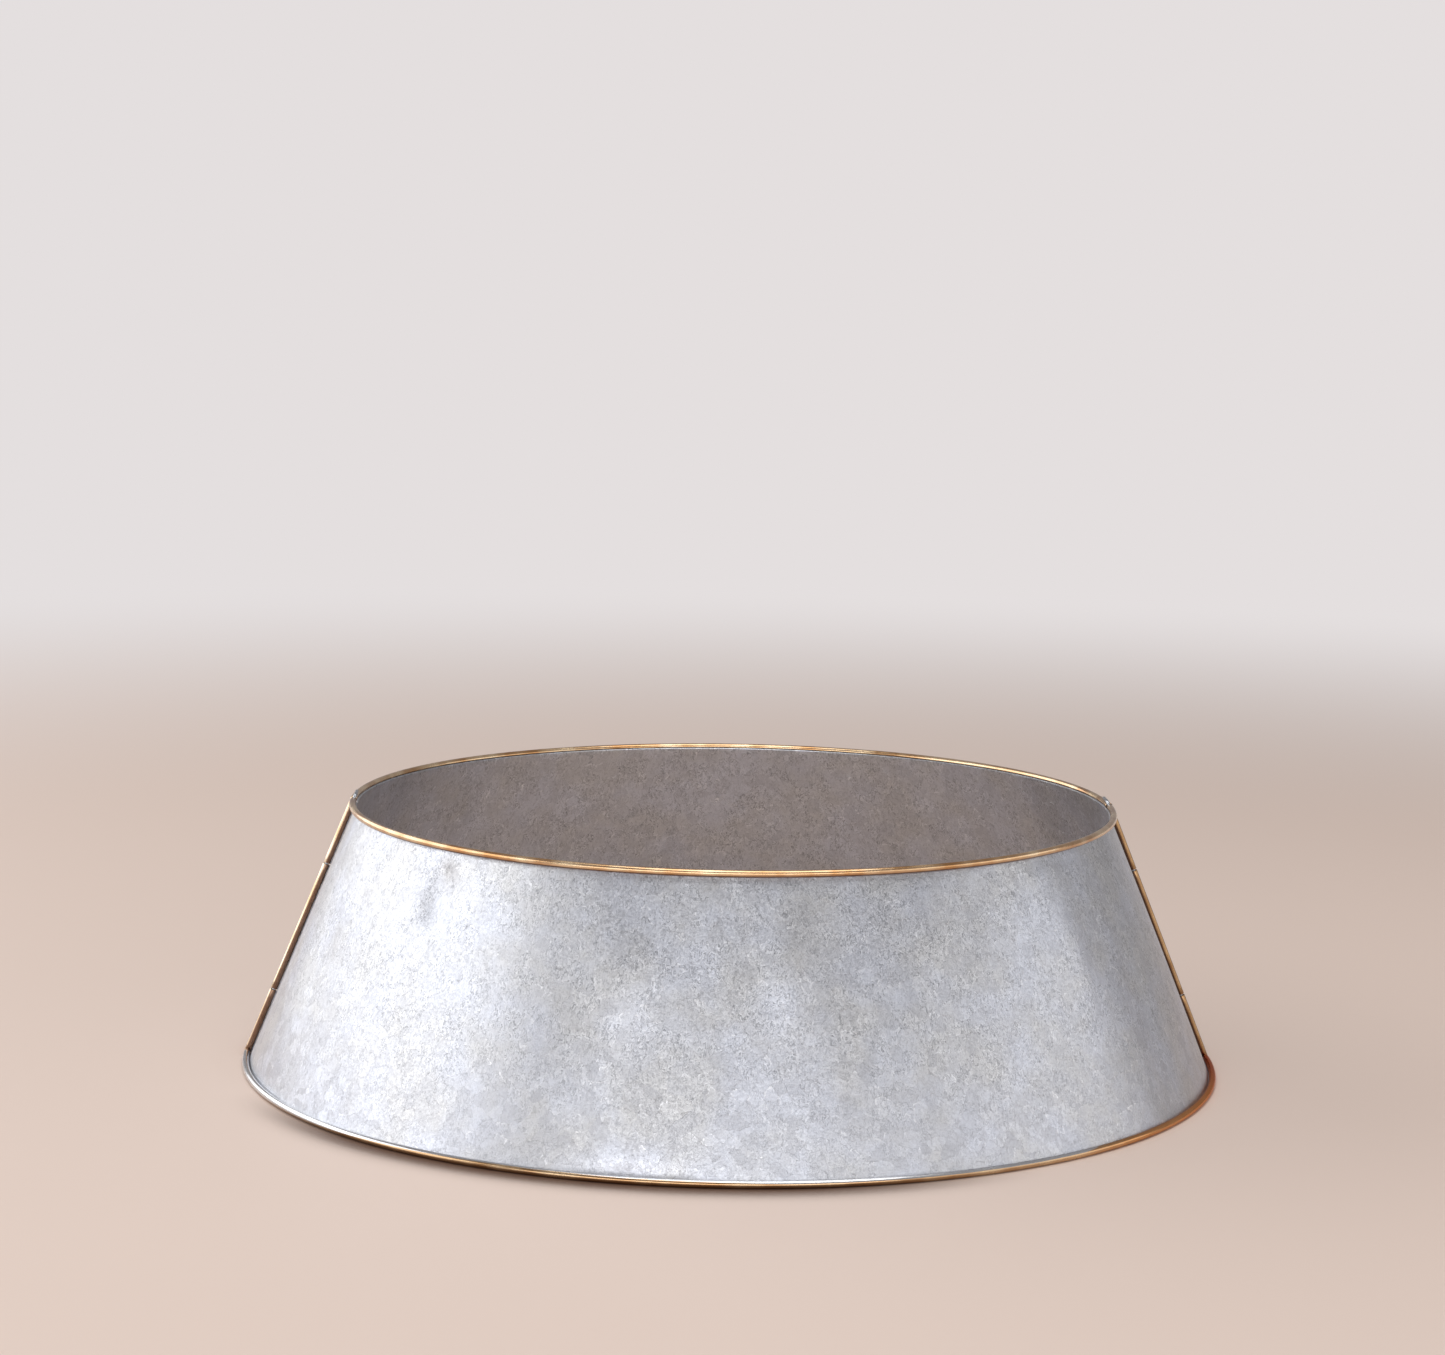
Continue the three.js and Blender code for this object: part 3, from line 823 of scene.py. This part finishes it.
def matteFloor():
    m = newMaterial("mattePaleBoard")   # painted board: flat and even, so that the shadow reads
    place = addNode(m, "ShaderNodeTexCoord").outputs["Object"]
    distance = addNode(m, "ShaderNodeVectorMath", {"operation": "LENGTH"}, {0: place})
    far = addNode(m, "ShaderNodeMapRange", {"interpolation_type": "SMOOTHSTEP"}, {
        "Value": distance.outputs["Value"], "From Min": stage["nearEdge"], "From Max": stage["farEdge"]})
    # painted shadow: the floor's own colour turns to the shadow tone by how closed in it is, at the collar's
    # front only
    near = addNode(m, "ShaderNodeAmbientOcclusion", {"samples": stage["contactSamples"]}, {
        "Distance": stage["contact"]})
    shaded = addNode(m, "ShaderNodeValToRGB", {}, {0: near.outputs["AO"]})
    setStops(shaded, greyStops(stage["paintedShadowShares"]))
    direction = addNode(m, "ShaderNodeVectorMath", {"operation": "NORMALIZE"}, {0: place})
    ahead = addNode(m, "ShaderNodeVectorMath", {"operation": "DOT_PRODUCT"}, {
        0: direction.outputs[0], 1: stage["paintedShadowAhead"]})
    low, high = stage["paintedShadowSpread"]
    frontShare = addNode(m, "ShaderNodeMapRange", {"interpolation_type": "SMOOTHSTEP"}, {
        "Value": ahead.outputs["Value"], "From Min": low, "From Max": high})
    contact = addNode(m, "ShaderNodeMath", {"operation": "MULTIPLY"}, {
        0: shaded.outputs[0], 1: frontShare.outputs[0]})
    floorWithPaintedShadow = addNode(m, "ShaderNodeMix", {"data_type": "RGBA"}, {
        0: contact.outputs[0], 6: linear(stage["floor"]), 7: linear(stage["paintedShadowTone"])})
    board = addNode(m, "ShaderNodeBsdfPrincipled", {}, {
        "Base Color": floorWithPaintedShadow.outputs[2], "Roughness": stage["floorRoughness"]})
    glow = addNode(m, "ShaderNodeEmission", {}, {"Color": linear(stage["backdrop"]), "Strength": 1.0})
    rays = addNode(m, "ShaderNodeLightPath")
    seen = addNode(m, "ShaderNodeMath", {"operation": "MAXIMUM"}, {
        0: rays.outputs["Is Camera Ray"], 1: rays.outputs["Is Glossy Ray"]})
    faded = addNode(m, "ShaderNodeMath", {"operation": "MULTIPLY"}, {0: far.outputs[0], 1: seen.outputs[0]})
    both = addNode(m, "ShaderNodeMixShader", {}, {0: faded.outputs[0], 1: board.outputs[0], 2: glow.outputs[0]})
    addNode(m, "ShaderNodeOutputMaterial", {}, {"Surface": both.outputs[0]})
    return m


bm = bmesh.new()
bmesh.ops.create_circle(bm, cap_ends=True, segments=stage["sides"], radius=stage["radius"])
floorMesh = bpy.data.meshes.new("floor")
bm.to_mesh(floorMesh)
bm.free()
floorMesh.materials.append(matteFloor())
floor = bpy.data.objects.new("floor", floorMesh)
scene.collection.objects.link(floor)

world = bpy.data.worlds.new("paleRoom")
scene.world = world
world.use_nodes = True
world.node_tree.nodes.clear()
rays = addNode(world, "ShaderNodeLightPath")
room = addNode(world, "ShaderNodeBackground", {}, {
    "Color": linear(stage["backdrop"]), "Strength": stage["worldStrength"]})
backdrop = addNode(world, "ShaderNodeBackground", {}, {"Color": linear(stage["backdrop"]), "Strength": 1.0})
choice = addNode(world, "ShaderNodeMixShader", {}, {
    0: rays.outputs["Is Camera Ray"], 1: room.outputs[0], 2: backdrop.outputs[0]})
addNode(world, "ShaderNodeOutputWorld", {}, {"Surface": choice.outputs[0]})

# soft panels of light, each aimed at the collar; width and height in metres
lamps = {
    "window": {"place": (-3.0, 0.85, 1.35), "width": 6.2, "height": 2.4, "power": 88},
    "front": {"place": (-0.5, -4.2, 1.0), "width": 7.6, "height": 1.6, "power": 92},
    "right": {"place": (3.35, -1.1, 0.95), "width": 4.8, "height": 1.6, "power": 24},
    "overhead": {"place": (0.1, -0.5, 2.8), "width": 2.2, "height": 2.2, "power": 38},
}
aim = Vector((0, 0, 100 * mm))
for name, lamp in lamps.items():
    data = bpy.data.lights.new(name, "AREA")
    data.shape = "RECTANGLE"
    data.size = lamp["width"]
    data.size_y = lamp["height"]
    data.energy = lamp["power"]
    panel = bpy.data.objects.new(name, data)
    panel.location = lamp["place"]
    panel.rotation_euler = (aim - Vector(lamp["place"])).to_track_quat("-Z", "Y").to_euler()
    scene.collection.objects.link(panel)

# the camera stands where the photograph's stood
photo = {
    "place": (-0.1217, -2.4970, 0.6068),
    "turn": -2.58,       # degrees to the right
    "pitch": 7.50,       # degrees down
    "roll": 0.95,
    "lens": 87.84,
    "sensor": 36,
    "clipEnd": 100,
}
cameraData = bpy.data.cameras.new("photoCamera")
cameraData.lens = photo["lens"]
cameraData.sensor_width = photo["sensor"]
cameraData.clip_end = photo["clipEnd"]
camera = bpy.data.objects.new("photoCamera", cameraData)
camera.matrix_world = (Matrix.Translation(photo["place"]) @ Matrix.Rotation(math.radians(photo["turn"]), 4, "Z")
                       @ Matrix.Rotation(math.radians(90 - photo["pitch"]), 4, "X")
                       @ Matrix.Rotation(math.radians(photo["roll"]), 4, "Z"))
scene.collection.objects.link(camera)
scene.camera = camera
scene.view_settings.view_transform = "Standard"
print("stage set")
